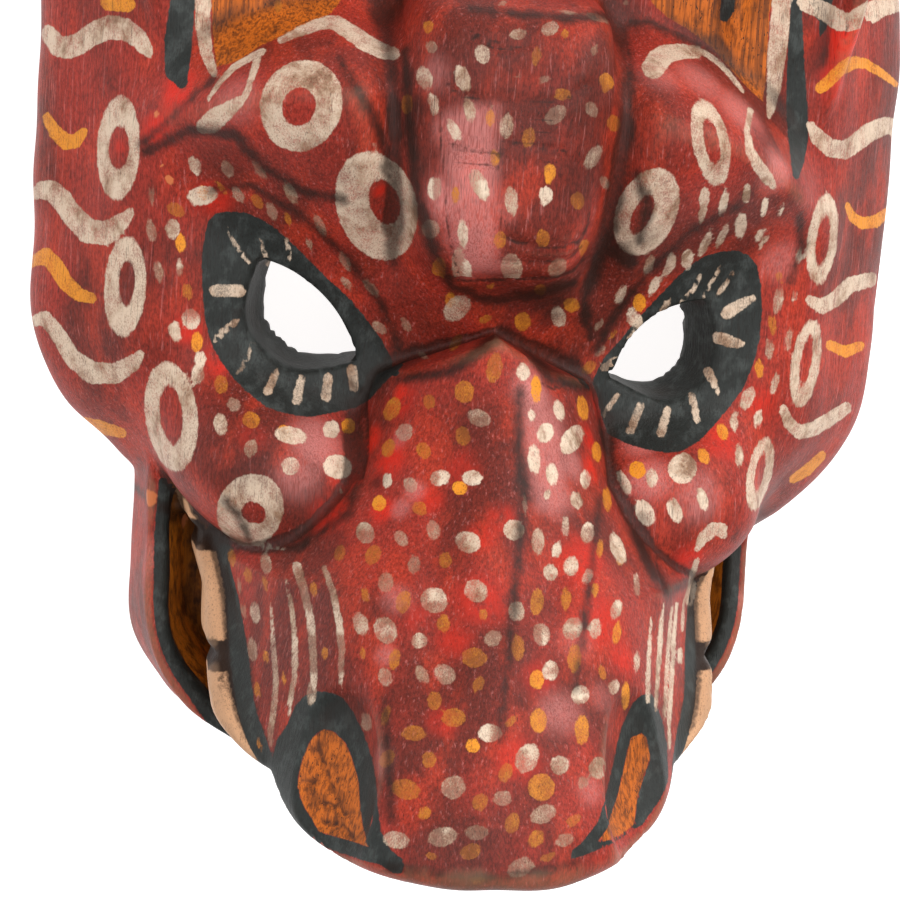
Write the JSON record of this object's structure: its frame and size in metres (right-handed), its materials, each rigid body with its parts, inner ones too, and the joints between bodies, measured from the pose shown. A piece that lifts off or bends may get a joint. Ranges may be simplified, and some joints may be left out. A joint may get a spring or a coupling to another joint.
{
  "type": "carved animal mask",
  "caption": "Carved and painted wooden animal mask with heavy brows, a long hanging snout over an open lower jaw and upright ears.",
  "frame": {"origin": "on the floor, in the middle of the mask's bounding box in plan, at the level of the back rim", "axes": "+X to the viewer's right across the face, +Y from the chin to the ears, +Z out of the face; the mask lies on its back rim"},
  "size_m": [0.2084, 0.2796, 0.1404],
  "materials": {
    "painted_wood": "hand-painted, worn, semi-gloss varnish"
  },
  "bodies": {
    "root": {"mask": "painted_wood"}
  },
  "joints": []
}
